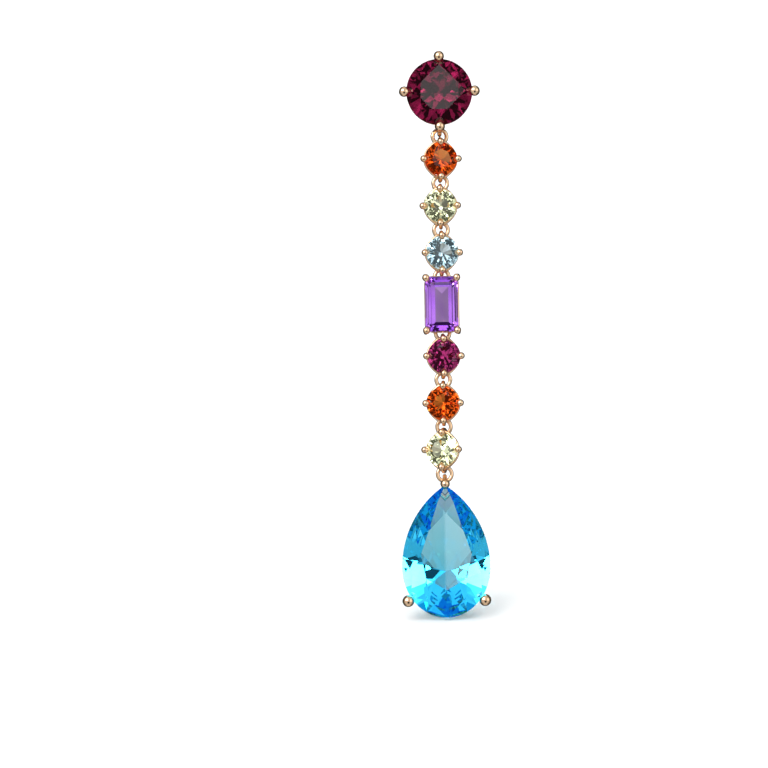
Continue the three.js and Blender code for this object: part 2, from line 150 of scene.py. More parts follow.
def pear_outline(half_width: float, head_depth: float, tip_height: float) -> Outline:
    """Half an ellipse for the head and an arc up each side to the tip.

    Args:
        half_width: Half the widest place, which lies at height 0.
        head_depth: How far the head reaches below that place.
        tip_height: How far the tip reaches above it.

    Returns:
        The outline, from its lowest point.
    """
    flank = (tip_height**2 + half_width**2) / (2 * half_width)
    rise = math.asin(tip_height / flank)
    quarter = OUTLINE_STEPS // 4
    right = []
    for index in range(quarter):
        angle = -math.pi / 2 * (1 - index / quarter)
        right.append(Vector((half_width * math.cos(angle), head_depth * math.sin(angle))))
    for index in range(quarter + 1):
        angle = rise * index / quarter
        reach = half_width - flank + flank * math.cos(angle)
        right.append(Vector((max(reach, 0.0), flank * math.sin(angle))))
    left = [Vector((-point.x, point.y)) for point in reversed(right[:-1])]
    return Outline(right + left)


@dataclass(frozen=True)
class Octagon:
    """A rectangle with its corners cut off."""

    width: float
    length: float
    corner: float

    def points(self) -> list[Vector]:
        """Its eight corners, from the lower right and round by the top."""
        x, y, cut = self.width / 2, self.length / 2, self.corner
        half = [(x, cut - y), (x, y - cut), (x - cut, y), (cut - x, y)]
        return [Vector(point) for point in half] + [-Vector(point) for point in half]

    def shrunk(self, inset: float, corner: float) -> "Octagon":
        """The same shape moved in on every side.

        Args:
            inset: How far each side moves in.
            corner: The cut at the new corners.

        Returns:
            The smaller shape.
        """
        return Octagon(self.width - 2 * inset, self.length - 2 * inset, corner)


@dataclass(frozen=True)
class Facet:
    """A flat that a stone is ground to, by its outward normal and its plane's constant."""

    normal: Vector
    constant: float

    @staticmethod
    def through(a: Vector, b: Vector, c: Vector) -> "Facet":
        """The facet through three points, with the middle of the girdle inside."""
        normal = (b - a).cross(c - a).normalized()
        constant = -normal.dot(a)
        return Facet(-normal, -constant) if constant > 0 else Facet(normal, constant)

    def meeting(self, other: "Facet", height: float) -> Vector:
        """Where this facet and another one meet at a height.

        Args:
            other: The other facet.
            height: The height.

        Returns:
            The point.
        """
        across = self.normal.x * other.normal.y - other.normal.x * self.normal.y
        a = -self.constant - self.normal.z * height
        b = -other.constant - other.normal.z * height
        return Vector(
            (
                (a * other.normal.y - b * self.normal.y) / across,
                (b * self.normal.x - a * other.normal.x) / across,
                height,
            )
        )


def lift(point: Vector, height: float) -> Vector:
    """A flat point at a height."""
    return Vector((point.x, point.y, height))


CUT_SLACK = 2e-5
WELD = 2e-4


def grind(
    points: Sequence[Vector], top: float, bottom: float, facets: Sequence[Facet]
) -> bmesh.types.BMesh:
    """Grinds every facet into a prism of the girdle's outline.

    Args:
        points: The girdle's outline.
        top: The table's height.
        bottom: The culet's height.
        facets: What is ground off.

    Returns:
        The stone as a closed mesh with flat facets.
    """
    mesh = bmesh.new()
    floor = mesh.faces.new([mesh.verts.new(lift(point, bottom)) for point in points])
    risen = bmesh.ops.extrude_face_region(mesh, geom=[floor])["geom"]
    for item in risen:
        if isinstance(item, bmesh.types.BMVert):
            item.co.z = top
    bmesh.ops.recalc_face_normals(mesh, faces=mesh.faces)
    for facet in facets:
        bmesh.ops.bisect_plane(
            mesh,
            geom=[*mesh.verts, *mesh.edges, *mesh.faces],
            dist=CUT_SLACK,
            plane_co=-facet.constant * facet.normal,
            plane_no=facet.normal,
            clear_outer=True,
        )
        rim = [edge for edge in mesh.edges if edge.is_boundary]
        if rim:
            bmesh.ops.holes_fill(mesh, edges=rim, sides=0)
    bmesh.ops.remove_doubles(mesh, verts=mesh.verts, dist=WELD)
    bmesh.ops.recalc_face_normals(mesh, faces=mesh.faces)
    return mesh


# Stones


@dataclass(frozen=True)
class BrilliantCut:
    """A brilliant cut: table, eight stars, mains above and below, and paired halves.

    Heights are measured from the middle of the girdle. star_drop is how far the stars reach down
    from the table, keel_rise how far the lower halves end above the culet.
    """

    outline: Outline
    table_scale: float
    table_centre: Vector
    crown: float
    star_drop: float
    pavilion: float
    keel_rise: float
    girdle: float
    culet_drop: float = 0.0
    crown_turn: float = 0.0
    pavilion_turn: float = 0.0
    mains: int = 8
    sides: int = 96

    def side(
        self, edge: float, inner: Callable[[float], Vector], meet: float, turn: float, stars: bool
    ) -> list[Facet]:
        """The facets above or below the girdle.

        Args:
            edge: The height of the girdle's edge on this side.
            inner: The point at which the main of a share of the outline ends.
            meet: The height at which two mains and the pair of halves between them meet.
            turn: How far the mains are turned, as a share of the step between them.
            stars: Whether a star closes each gap between the inner points.

        Returns:
            The facets.
        """
        mains = []
        for index in range(self.mains + 1):
            share = (index + turn) / self.mains
            foot = lift(self.outline.at(share), edge)
            along = lift(self.outline.direction(share), 0)
            mains.append(Facet.through(foot, foot + along, inner(share)))
        facets = []
        for index in range(self.mains):
            share = (index + turn) / self.mains
            after = share + 1 / self.mains
            point = mains[index].meeting(mains[index + 1], meet)
            foot = lift(self.outline.at(share), edge)
            middle = lift(self.outline.at((share + after) / 2), edge)
            last = lift(self.outline.at(after), edge)
            halves = Facet.through(point, foot, middle), Facet.through(point, middle, last)
            facets += [mains[index], *halves]
            if stars:
                facets.append(Facet.through(point, inner(share), inner(after)))
        return facets

    def table_point(self, share: float) -> Vector:
        """The table's corner above a share of the outline."""
        flat = (self.outline.at(share) - self.table_centre) * self.table_scale + self.table_centre
        return lift(flat, self.crown)

    def build(self) -> bmesh.types.BMesh:
        """The cut stone."""
        culet = Vector((0, -self.culet_drop, -self.pavilion))
        half = self.girdle / 2
        stars, keel = self.crown - self.star_drop, self.keel_rise - self.pavilion
        facets = self.side(half, self.table_point, stars, self.crown_turn, True)
        facets += self.side(-half, lambda _: culet, keel, self.pavilion_turn, False)
        return grind(self.outline.spread(self.sides), self.crown, -self.pavilion, facets)


@dataclass(frozen=True)
class StepCut:
    """A step cut octagon. Each tier is one row of facets: how far in it ends, and its height."""

    outline: Octagon
    girdle: float
    crown: tuple[tuple[float, float], ...]
    pavilion: tuple[tuple[float, float], ...]

    def build(self) -> bmesh.types.BMesh:
        """The cut stone."""
        corners = self.outline.points()
        rows = [
            [(0.0, self.girdle / 2), *self.crown],
            [(0.0, -self.girdle / 2), *self.pavilion],
        ]
        facets = []
        for index, start in enumerate(corners):
            along = (corners[(index + 1) % len(corners)] - start).normalized()
            inward = Vector((-along.y, along.x))
            for tiers in rows:
                for (inset, height), (next_inset, next_height) in zip(tiers, tiers[1:]):
                    near = lift(start + inset * inward, height)
                    far = lift(start + next_inset * inward, next_height)
                    facets.append(Facet.through(near, near + lift(along, 0), far))
        return grind(corners, self.crown[-1][1], self.pavilion[-1][1], facets)


SMALL_RADIUS = 1.5
GARNET_RADIUS = 3.0
PEAR_HALF_WIDTH = 4.0
PEAR_HEAD_DEPTH = 4.55
PEAR_TIP_HEIGHT = 7.45

SMALL_CUT = BrilliantCut(
    outline=round_outline(SMALL_RADIUS),
    table_scale=1.7 / 3,
    table_centre=Vector((0, 0)),
    crown=0.48,
    star_drop=0.14,
    pavilion=1.3,
    keel_rise=0.3,
    girdle=0.09,
    sides=64,
)

GARNET_CUT = BrilliantCut(
    outline=round_outline(GARNET_RADIUS),
    table_scale=3.7 / 6,
    table_centre=Vector((0, 0)),
    crown=0.9,
    star_drop=0.26,
    pavilion=2.55,
    keel_rise=0.6,
    girdle=0.16,
    crown_turn=0.5,
    pavilion_turn=0.5,
)

PEAR_CUT = BrilliantCut(
    outline=pear_outline(PEAR_HALF_WIDTH, PEAR_HEAD_DEPTH, PEAR_TIP_HEIGHT),
    table_scale=4.65 / 8,
    table_centre=Vector((0, (PEAR_TIP_HEIGHT - PEAR_HEAD_DEPTH) / 2)),
    crown=1.2,
    star_drop=0.4,
    pavilion=3.2,
    keel_rise=0.8,
    girdle=0.24,
    culet_drop=0.4,
    pavilion_turn=0.5,
)

OCTAGON_CUT = StepCut(
    outline=Octagon(width=3.0, length=5.0, corner=0.45),
    girdle=0.1,
    crown=((0.15, 0.22), (0.33, 0.38), (0.52, 0.48)),
    pavilion=((0.36, -0.5), (0.9, -1.0), (1.5, -1.38)),
)


# Wire and balls

WIRE_SIDES = 18
BEND_STEPS = 7
BEND_SHARE = 0.45
CORNER_STEPS = 6
CORNER_SHARE = 0.22
BALL_SEGMENTS = 28
BALL_RINGS = 18
BEAK_FALL = 0.25
BEAK_POWER = 4
TIP_SINK = 0.05
TIP_GIRTH = 0.9


def bend(before: Vector, corner: Vector, after: Vector, share: float, steps: int) -> list[Vector]:
    """A round bend in place of a corner.

    Args:
        before: The point before the corner.
        corner: The corner.
        after: The point after it.
        share: How much of the shorter side next to the corner the bend takes.
        steps: How many steps the bend has.

    Returns:
        The bend's points, which lie inside the corner.
    """
    sides = before - corner, after - corner
    cut = share * min(side.length for side in sides)
    start, end = (corner + cut * side.normalized() for side in sides)
    points = []
    for step in range(steps + 1):
        t = step / steps
        points.append((1 - t) ** 2 * start + 2 * t * (1 - t) * corner + t * t * end)
    return points


def rounded(corners: Sequence[Vector]) -> list[Vector]:
    """A flat polygon with each of its corners bent round."""
    points = []
    for index, corner in enumerate(corners):
        after = corners[(index + 1) % len(corners)]
        points += bend(corners[index - 1], corner, after, CORNER_SHARE, CORNER_STEPS)
    return points


def outward(azimuth: float) -> Vector:
    """The flat direction of an azimuth in degrees, from the right and round by the top."""
    turn = math.radians(azimuth)
    return Vector((math.cos(turn), math.sin(turn), 0))


@dataclass
class Wirework:
    """Round wire and balls, soldered to one piece. Depths are measured behind the girdle."""

    mesh: bmesh.types.BMesh = field(default_factory=bmesh.new)

    def sweep(
        self, path: Sequence[Vector], radii: Sequence[float], plane: Vector, closed: bool
    ) -> None:
        """Draws round wire along a flat path.

        Args:
            path: Points along the wire's middle.
            radii: The wire's radius at each of them.
            plane: The normal of the plane in which the path lies.
            closed: Whether the wire's end meets its start.
        """
        last = len(path) - 1
        rings = []
        for index, point in enumerate(path):
            before = path[index - 1] if closed else path[max(index - 1, 0)]
            after = path[(index + 1) % len(path)] if closed else path[min(index + 1, last)]
            across = (after - before).cross(plane).normalized()
            ring = []
            for side in range(WIRE_SIDES):
                angle = 2 * math.pi * side / WIRE_SIDES
                offset = math.cos(angle) * plane + math.sin(angle) * across
                ring.append(self.mesh.verts.new(point + radii[index] * offset))
            rings.append(ring)
        pairs = list(zip(rings, rings[1:]))
        if closed:
            pairs.append((rings[-1], rings[0]))
        for ring, following in pairs:
            for side in range(WIRE_SIDES):
                turn = (side + 1) % WIRE_SIDES
                self.mesh.faces.new((ring[side], following[side], following[turn], ring[turn]))
        if not closed:
            self.mesh.faces.new(list(reversed(rings[0])))
            self.mesh.faces.new(rings[-1])

    def bent(self, azimuth: float, rows: Sequence[Row]) -> None:
        """Draws a bent wire in the upright plane of an azimuth.

        Args:
            azimuth: The direction in degrees.
            rows: Reach from the middle, height and thickness, along the wire.
        """
        out = outward(azimuth)
        points = [Vector(row) for row in rows]
        fine = [points[0]]
        for before, corner, after in zip(points, points[1:], points[2:]):
            fine += bend(before, corner, after, BEND_SHARE, BEND_STEPS)
        fine.append(points[-1])
        path = [out * reach + Vector((0, 0, height)) for reach, height, _ in fine]
        radii = [thickness / 2 for _, _, thickness in fine]
        self.sweep(path, radii, Vector((-out.y, out.x, 0)), False)

    def rail(self, points: Sequence[Vector], wire: float, depth: float) -> None:
        """Draws a closed loop of wire.

        Args:
            points: The flat points of its middle.
            wire: The wire's thickness.
            depth: Its depth.
        """
        path = [lift(point, -depth) for point in points]
        self.sweep(path, [wire / 2] * len(path), Vector((0, 0, 1)), True)

    def ball(self, azimuth: float, reach: float, height: float, size: float, beak: float) -> None:
        """Sets the melted ball on a claw's tip, drawn out a little over the stone.

        Args:
            azimuth: The claw's direction in degrees.
            reach: How far the ball's middle lies from the stone's middle.
            height: Its middle's height over the girdle.
            size: Its diameter.
            beak: How far it is drawn out towards the stone, as a share of its radius.
        """
        out = outward(azimuth)
        towards_stone = (-out + Vector((0, 0, -BEAK_FALL))).normalized()
        made = bmesh.ops.create_uvsphere(
            self.mesh, u_segments=BALL_SEGMENTS, v_segments=BALL_RINGS, radius=size / 2
        )
        for vert in made["verts"]:
            facing = max(vert.co.normalized().dot(towards_stone), 0.0)
            vert.co += beak * (size / 2) * facing**BEAK_POWER * towards_stone
            vert.co += out * reach + Vector((0, 0, height))


@dataclass(frozen=True)
class ClawShape:
    """How a claw runs. Lengths are measured from the girdle's edge and its middle height.

    ring_depth is the depth of the jump ring's wire, which hangs inside the claw's bow. The bow runs
    straight from bow_start to bow_end, as shares of that depth.
    """

    wire: float
    ball: float
    ball_out: float
    ball_height: float
    neck_height: float
    ring_depth: float
    depth: float
    beak: float = 0.5
    bow_start: float = 0.5
    bow_end: float = 1.3
    stone_play: float = 0.03

    def build(
        self, work: Wirework, azimuth: float, girdle: float, foot: float, bow: float | None = None
    ) -> None:
        """Draws a claw with its ball.

        Args:
            work: The wirework that it belongs to.
            azimuth: Its direction in degrees.
            girdle: How far the girdle's edge lies from the stone's middle in that direction.
            foot: How far its foot on the base rail lies from the middle.
            bow: How far its bow lies from the middle. Without one the claw runs straight down.
        """
        tip = girdle + self.ball_out
        neck_end = girdle if bow is None else bow
        neck = max(girdle + self.stone_play + self.wire / 2, (tip + neck_end) / 2)
        work.ball(azimuth, tip, self.ball_height, self.ball, self.beak)
        line = [(neck, self.neck_height)]
        if bow is None:
            line.append(((neck + foot) / 2, (self.neck_height - self.depth) / 2))
        else:
            end = self.bow_end * self.ring_depth
            line += [
                (bow, -self.bow_start * self.ring_depth),
                (bow, -end),
                ((2 * bow + foot) / 3, (-end - 2 * self.depth) / 3),
            ]
        line.append((foot, -self.depth))
        top = (tip, self.ball_height - TIP_SINK * self.ball, TIP_GIRTH * self.wire)
        work.bent(azimuth, [top, *((reach, height, self.wire) for reach, height in line)])


RING_WIRE = 0.38
RING_BORE = 0.9
RING_RADIUS = (RING_BORE + RING_WIRE) / 2
HOOK_PLAY = 0.06


def bow_reach(girdle: float, hook_out: float, wire: float) -> float:
    """How far out the middle of a claw runs where a jump ring's wire lies inside it."""
    return girdle + hook_out + RING_WIRE / 2 + HOOK_PLAY + wire / 2


# Settings


@dataclass
class RoundSetting:
    """Four claws round a stone, a rail under its girdle and a round one at the base.

    The claws above and below have a bow for the jump rings, and the upper rail swings out to them.
    """

    radius: float
    claw: ClawShape
    hook_out: float
    rail_wire: float
    rail_depth: float
    rail_out: float
    rail_bulge: float
    base_wire: float
    base_diameter: float
    rail_points: int = 96
    rail_power: int = 8

    def hook_rail(self) -> list[Vector]:
        """The upper rail's middle line, drawn out to the claws that hold the jump rings."""
        points = []
        for index in range(self.rail_points):
            angle = 2 * math.pi * index / self.rail_points
            reach = self.radius + self.rail_out + self.rail_bulge * math.sin(angle) ** self.rail_power
            points.append(Vector((reach * math.cos(angle), reach * math.sin(angle))))
        return points

    def build(self) -> bmesh.types.BMesh:
        """The soldered setting."""
        work = Wirework()
        foot = self.base_diameter / 2
        work.rail(self.hook_rail(), self.rail_wire, self.rail_depth)
        work.rail(round_outline(foot).spread(self.rail_points), self.base_wire, self.claw.depth)
        bow = bow_reach(self.radius, self.hook_out, self.claw.wire)
        for azimuth in (90, -90):
            self.claw.build(work, azimuth, self.radius, foot, bow)
            strut = self.radius + self.rail_out, bow
            work.bent(azimuth, [(end, -self.rail_depth, self.rail_wire) for end in strut])
        for azimuth in (0, 180):
            self.claw.build(work, azimuth, self.radius, foot)
        return work.mesh


@dataclass
class StudSetting(RoundSetting):
    """The top setting: a round setting closed by a back plate with the ear post on it.

    tip_rows are the post's rounded end, as shares of its radius and of point_length.
    """

    plate: float = 0.4
    plate_round: float = 0.05
    back_round: float = 0.06
    solder: float = 0.09
    solder_hollow: float = 0.025
    post_diameter: float = 0.85
    post_length: float = 10.5
    groove_depth: float = 0.1
    groove_width: float = 0.5
    groove_from_end: float = 1.8
    point_length: float = 0.35
    tip_rows: tuple[tuple[float, float], ...] = ((1, 1), (0.85, 0.45), (0.5, 0.08), (0, 0))
    turned_sides: int = 48

    def profile(self) -> list[tuple[float, float]]:
        """The turned profile of plate and post, as radius and height over the plate's back."""
        plate, post = self.base_diameter / 2, self.post_diameter / 2
        groove = post - self.groove_depth
        end = -self.post_length
        groove_end = end + self.groove_from_end
        groove_start = groove_end + self.groove_width
        return [
            (0, self.plate),
            (plate - self.plate_round, self.plate),
            (plate, self.plate - self.plate_round),
            (plate, self.back_round),
            (plate - self.back_round, 0),
            (post + self.solder, 0),
            (post + self.solder_hollow, -self.solder_hollow),
            (post, -self.solder),
            (post, groove_start),
            (groove, groove_start - self.groove_depth),
            (groove, groove_end + self.groove_depth),
            (post, groove_end),
            *((girth * post, end + rise * self.point_length) for girth, rise in self.tip_rows),
        ]

    def build(self) -> bmesh.types.BMesh:
        """The setting with its plate and post."""
        mesh = super().build()
        back = -(self.claw.depth + self.base_wire / 2)
        rings = []
        for radius, height in self.profile():
            ring = []
            for side in range(self.turned_sides if radius else 1):
                angle = 2 * math.pi * side / self.turned_sides
                flat = radius * math.cos(angle), radius * math.sin(angle)
                ring.append(mesh.verts.new((*flat, back + height)))
            rings.append(ring)
        for upper, lower in zip(rings, rings[1:]):
            for side in range(self.turned_sides):
                turn = (side + 1) % self.turned_sides
                corners = [upper[side % len(upper)], lower[side % len(lower)]]
                corners += [lower[turn % len(lower)], upper[turn % len(upper)]]
                mesh.faces.new(list(dict.fromkeys(corners)))
        return mesh


@dataclass
class OctagonSetting:
    """A claw at each cut corner, two rails, and a bar at each end for the jump rings."""

    outline: Octagon
    claw: ClawShape
    ball_across: float = 2.8
    ball_along: float = 4.8
    bow_out: float = 0.22
    hook_out: float = -0.58
    rail_wire: float = 0.28
    rail_depth: float = 0.36
    rail_inset: float = 0.05
    base_wire: float = 0.3
    base_inset: float = 0.68
    base_corner: float = 0.35
    bar: float = 0.3

    def build(self) -> bmesh.types.BMesh:
        """The soldered setting."""
        work = Wirework()
        upper = self.outline.shrunk(self.rail_inset, self.outline.corner)
        base = self.outline.shrunk(self.base_inset, self.base_corner)
        work.rail(rounded(upper.points()), self.rail_wire, self.rail_depth)
        work.rail(rounded(base.points()), self.base_wire, self.claw.depth)
        corner = Vector((self.ball_across / 2, self.ball_along / 2))
        azimuth = math.degrees(math.atan2(corner.y, corner.x))
        reach = corner.length
        bow = reach + self.bow_out - self.claw.wire / 2
        feet = base.points()
        foot = (feet[1] + feet[2]).length / 2
        for at in (azimuth, 180 - azimuth, 180 + azimuth, -azimuth):
            self.claw.build(work, at, reach, foot, bow)
        depth = self.claw.ring_depth
        bar = bow_reach(self.outline.length / 2, self.hook_out, self.bar)
        line = [
            (upper.length / 2, -self.rail_depth),
            (bar, (-self.rail_depth - depth) / 2),
            (bar, -self.claw.bow_end * depth),
            (base.length / 2, -self.claw.depth),
        ]
        for at in (90, -90):
            work.bent(at, [(reach, height, self.bar) for reach, height in line])
        return work.mesh


@dataclass
class PearSetting:
    """A claw at the tip, one at each side of the head, and two pear shaped rails."""

    tip_claw: ClawShape
    side_claw: ClawShape
    azimuth: float = -40.7
    hook_out: float = 0.35
    bow_out: float = 0.08
    rail_wire: float = 0.36
    rail_depth: float = 0.95
    rail_inset: float = 0.2
    rail_tip_inset: float = 0.36
    strut_out: float = 0.35
    base_wire: float = 0.42
    base_inset: float = 1.2
    base_tip_inset: float = 2.1
    rail_points: int = 120

    def build(self) -> bmesh.types.BMesh:
        """The soldered setting."""
        work = Wirework()
        tip = PEAR_TIP_HEIGHT
        for inset, tip_inset, wire, depth in (
            (self.rail_inset, self.rail_tip_inset, self.rail_wire, self.rail_depth),
            (self.base_inset, self.base_tip_inset, self.base_wire, self.tip_claw.depth),
        ):
            line = pear_outline(PEAR_HALF_WIDTH - inset, PEAR_HEAD_DEPTH - inset, tip - tip_inset)
            work.rail(line.spread(self.rail_points), wire, depth)
        bow = bow_reach(tip, self.hook_out, self.tip_claw.wire)
        self.tip_claw.build(work, 90, tip, tip - self.base_tip_inset, bow)
        strut = tip - self.rail_tip_inset, tip + self.strut_out
        work.bent(90, [(end, -self.rail_depth, self.rail_wire) for end in strut])
        side = math.radians(self.azimuth)
        reach = self.ellipse_reach(side, 0)
        foot = self.ellipse_reach(side, self.base_inset)
        for at in (self.azimuth, 180 - self.azimuth):
            self.side_claw.build(work, at, reach, foot, reach + self.bow_out)
        return work.mesh

    @staticmethod
    def ellipse_reach(angle: float, inset: float) -> float:
        """How far the edge of the head lies from the middle.

        Args:
            angle: The direction in radians.
            inset: How far inside the stone's outline the edge lies.

        Returns:
            The distance.
        """
        across = math.cos(angle) / (PEAR_HALF_WIDTH - inset)
        down = math.sin(angle) / (PEAR_HEAD_DEPTH - inset)
        return 1 / math.hypot(across, down)


@dataclass
class JumpRing:
    """A round ring of wire with a soldered seam."""

    seam_at: float
    radius: float = RING_RADIUS
    wire: float = RING_WIRE
    seam_bulge: float = 0.09
    seam_width: float = 9.0
    segments: int = 72

    def build(self) -> bmesh.types.BMesh:
        """The closed ring."""
        work = Wirework()
        path, radii = [], []
        for index in range(self.segments):
            angle = 360 * index / self.segments
            away = abs((angle - self.seam_at + 180) % 360 - 180) / self.seam_width
            swell = self.seam_bulge * math.exp(-(away**2)) - 0.5 * self.seam_bulge
            path.append(self.radius * outward(angle))
            radii.append(self.wire / 2 * (1 + swell))
        work.sweep(path, radii, Vector((0, 0, 1)), True)
        return work.mesh


SMALL_SETTING = RoundSetting(
    radius=SMALL_RADIUS,
    claw=ClawShape(0.34, 0.64, 0.08, 0.22, -0.06, ring_depth=0.8, depth=1.42),
    hook_out=0,
    rail_wire=0.26,
    rail_depth=0.38,
    rail_out=-0.06,
    rail_bulge=0.24,
    base_wire=0.3,
    base_diameter=2.2,
)

GARNET_SETTING = StudSetting(
    radius=GARNET_RADIUS,
    claw=ClawShape(0.4, 0.95, 0.2, 0.34, -0.1, ring_depth=1.6, depth=2.95),
    hook_out=0.25,
    rail_wire=0.36,
    rail_depth=0.72,
    rail_out=-0.22,
    rail_bulge=0,
    base_wire=0.42,
    base_diameter=2.7,
)

OCTAGON_SETTING = OctagonSetting(
    outline=OCTAGON_CUT.outline,
    claw=ClawShape(0.4, 0.68, 0, 0.22, -0.08, ring_depth=1.15, depth=1.65),
)

PEAR_SETTING = PearSetting(
    tip_claw=ClawShape(0.4, 0.86, 0.1, 0.42, 0.15, ring_depth=0.42, depth=2.1, beak=0.15),
    side_claw=ClawShape(0.4, 1.08, 0.38, 0.42, 0.15, ring_depth=0.42, depth=2.1, beak=0.0),
)


# Finishes


class Slot(Enum):
    """The part's material slots."""

    ROSE_GOLD = "rose_gold"
    GARNET = "garnet"
    CITRINE = "citrine"
    PERIDOT = "peridot"
    SKY_TOPAZ = "sky_topaz"
    AMETHYST = "amethyst"
    RHODOLITE = "rhodolite"
    SWISS_TOPAZ = "swiss_topaz"


Values = dict[str | int, object]
Socket = bpy.types.NodeSocket
Tree = bpy.types.NodeTree

WHITE = (1.0, 1.0, 1.0, 1.0)
BLACK = (0.0, 0.0, 0.0, 1.0)


def feed(node: bpy.types.Node, inputs: Values) -> bpy.types.Node:
    """Sets or wires a node's inputs.

    Args:
        node: The node.
        inputs: What goes into each input, by its name or number: a value, or another node's output.

    Returns:
        The node.
    """
    for name, value in inputs.items():
        if isinstance(value, Socket):
            node.id_data.links.new(value, node.inputs[name])
        else:
            node.inputs[name].default_value = value
    return node


def add_node(
    tree: Tree, kind: str, inputs: Values | None = None, **settings: object
) -> bpy.types.Node:
    """Adds a shader node and sets it up.

    Args:
        tree: The tree that it goes into.
        kind: The node's type, without the word ShaderNode.
        inputs: What goes into its inputs, as in feed.
        settings: Its attributes.

    Returns:
        The node.
    """
    node = tree.nodes.new(f"ShaderNode{kind}")
    for name, value in settings.items():
        setattr(node, name, value)
    return feed(node, inputs or {})


def calculate(tree: Tree, operation: str, *values: Socket | float, clamp: bool = False) -> Socket:
    """Adds a maths node.

    Args:
        tree: The tree that it goes into.
        operation: What it does.
        values: Its values or the outputs that it takes them from, in order.
        clamp: Whether the result stays from 0 to 1.

    Returns:
        The result's output.
    """
    inputs = dict(enumerate(values))
    return add_node(tree, "Math", inputs, operation=operation, use_clamp=clamp).outputs["Value"]


def blend(tree: Tree, share: Socket, a: object, b: object, kind: str = "FLOAT") -> Socket:
    """Adds a mix of two values or two colours.

    Args:
        tree: The tree that it goes into.
        share: The share of the second one.
        a: The first one.
        b: The second one.
        kind: FLOAT for values, RGBA for colours.

    Returns:
        The result's output.
    """
    mixed = add_node(tree, "Mix", data_type=kind)
    return feed(mixed, {"Factor": share, "A": a, "B": b}).outputs["Result"]


def start_group(name: str, inputs: dict[str, object]) -> tuple[Tree, bpy.types.bpy_prop_collection]:
    """Starts a shader node group.

    Args:
        name: Its name.
        inputs: The value that each input starts with: a number or a colour.

    Returns:
        The tree, and the sockets that bring its inputs.
    """
    tree = bpy.data.node_groups.new(name, "ShaderNodeTree")
    for label, value in inputs.items():
        kind = "NodeSocketFloat" if isinstance(value, float) else "NodeSocketColor"
        socket = tree.interface.new_socket(label, in_out="INPUT", socket_type=kind)
        socket.default_value = value
    return tree, tree.nodes.new("NodeGroupInput").outputs


def end_group(tree: Tree, results: dict[str, Socket]) -> Tree:
    """Gives a node group its outputs.

    Args:
        tree: The group's tree.
        results: The colour or number that leaves by each output.

    Returns:
        The tree.
    """
    for label, result in results.items():
        kind = "NodeSocketColor" if result.type == "RGBA" else "NodeSocketFloat"
        tree.interface.new_socket(label, in_out="OUTPUT", socket_type=kind)
    feed(tree.nodes.new("NodeGroupOutput"), results)
    return tree


def new_material(name: str, inputs: Values) -> tuple[bpy.types.Material, bpy.types.Node]:
    """Starts a material.

    Args:
        name: Its name.
        inputs: The values of its shader.

    Returns:
        The material and its shader.
    """
    made = bpy.data.materials.new(name)
    made.use_nodes = True
    return made, feed(made.node_tree.nodes["Principled BSDF"], inputs)


def polish_group() -> Tree:
    """What a polishing wheel leaves: faint waves, fine hairlines and a tone that drifts.

    Returns:
        The node group, with Tone, Roughness and Height as outputs.
    """
    tree, given = start_group(
        "polished_surface",
        {
            "Light Tone": WHITE,
            "Dark Tone": WHITE,
            "Wave Scale": 900.0,
            "Hairline Scale": 9000.0,
            "Smooth": 0.0,
            "Worn": 0.0,
        },
    )
    place = add_node(tree, "TexCoord").outputs["Object"]
    waves = {"Vector": place, "Scale": given["Wave Scale"], "Detail": 3.0}
    wave = add_node(tree, "TexNoise", waves).outputs["Fac"]
    mapping = add_node(tree, "Mapping", {"Vector": place, "Scale": (1.0, 0.25, 0.12)})
    hairs = {"Vector": mapping.outputs["Vector"], "Scale": given["Hairline Scale"]}
    hair = add_node(tree, "TexNoise", {**hairs, "Detail": 5.0, "Roughness": 0.7}).outputs["Fac"]
    wear = {"From Min": 0.35, "From Max": 0.75, "To Min": given["Smooth"], "To Max": given["Worn"]}
    rough = add_node(tree, "MapRange", {"Value": hair}, interpolation_type="SMOOTHSTEP")
    results = {
        "Tone": blend(tree, wave, given["Dark Tone"], given["Light Tone"], "RGBA"),
        "Roughness": feed(rough, wear).outputs["Result"],
        "Height": calculate(tree, "MULTIPLY_ADD", wave, 0.8, hair),
    }
    return end_group(tree, results)


def zoning_group() -> Tree:
    """Soft bands and clouds of deeper colour, as grown crystals have them.

    Returns:
        The node group, with Color as its output.
    """
    tree, given = start_group(
        "colour_zoning",
        {"Pale": WHITE, "Deep": WHITE, "Band Scale": 300.0, "Cloud Scale": 500.0},
    )
    place = add_node(tree, "TexCoord").outputs["Object"]
    bands = {"Vector": place, "Scale": given["Band Scale"], "Distortion": 2.5, "Detail": 1.0}
    band = add_node(tree, "TexWave", bands, bands_direction="DIAGONAL").outputs["Fac"]
    clouds = {"Vector": place, "Scale": given["Cloud Scale"], "Detail": 2.0}
    cloud = add_node(tree, "TexNoise", clouds).outputs["Fac"]
    both = calculate(tree, "MULTIPLY", band, cloud)
    return end_group(tree, {"Color": blend(tree, both, given["Pale"], given["Deep"], "RGBA")})


